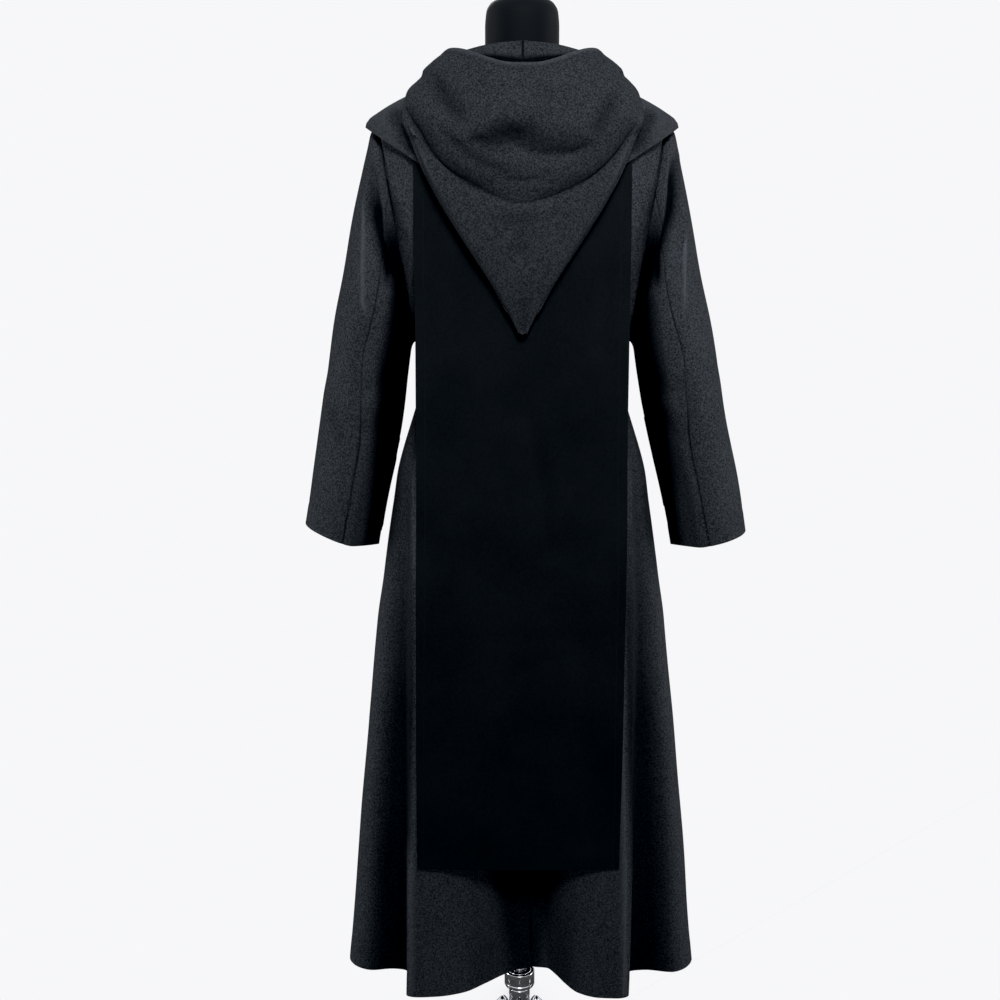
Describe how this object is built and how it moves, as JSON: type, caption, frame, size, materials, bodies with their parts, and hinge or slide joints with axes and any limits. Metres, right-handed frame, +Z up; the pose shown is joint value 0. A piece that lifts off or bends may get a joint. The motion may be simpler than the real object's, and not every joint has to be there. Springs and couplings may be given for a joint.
{
  "type": "monk habit on a dress form",
  "caption": "Long hooded robe with a black scapular and a shoulder cape, worn by a limbless dress form on a chrome stand; the pointed hood hangs down the back.",
  "frame": {"origin": "on the floor, under the middle of the stand's pole", "axes": "+Z up; the front of the garment faces -Y and the hood hangs down its +Y side; +X is the wearer's left"},
  "size_m": [0.71, 0.502, 1.796],
  "materials": {
    "robe_wool": "felted wool melton, charcoal grey melange, matt",
    "hood_wool": "felted wool melton, charcoal grey melange, matt",
    "scapular_cloth": "finely woven black wool, matt",
    "form_cover": "black, satin",
    "stand_chrome": "polished",
    "foot_rubber": "matt"
  },
  "bodies": {
    "root": {"robe_back_left": "robe_wool", "robe_back_right": "robe_wool", "robe_front": "robe_wool", "sleeve_left_upper": "robe_wool", "sleeve_left_under": "robe_wool", "sleeve_right_upper": "robe_wool", "sleeve_right_under": "robe_wool", "cape": "hood_wool", "hood": "hood_wool", "hood_band_left": "hood_wool", "hood_band_right": "hood_wool", "scapular_back": "scapular_cloth", "scapular_front": "scapular_cloth", "form_torso": "form_cover", "stand_pole": "stand_chrome", "stand_cup": "stand_chrome", "stand_hub": "stand_chrome", "stand_leg_1": "stand_chrome", "stand_leg_2": "stand_chrome", "stand_leg_3": "stand_chrome", "stand_leg_4": "stand_chrome", "stand_foot_1": "foot_rubber", "stand_foot_2": "foot_rubber", "stand_foot_3": "foot_rubber", "stand_foot_4": "foot_rubber"}
  },
  "joints": []
}
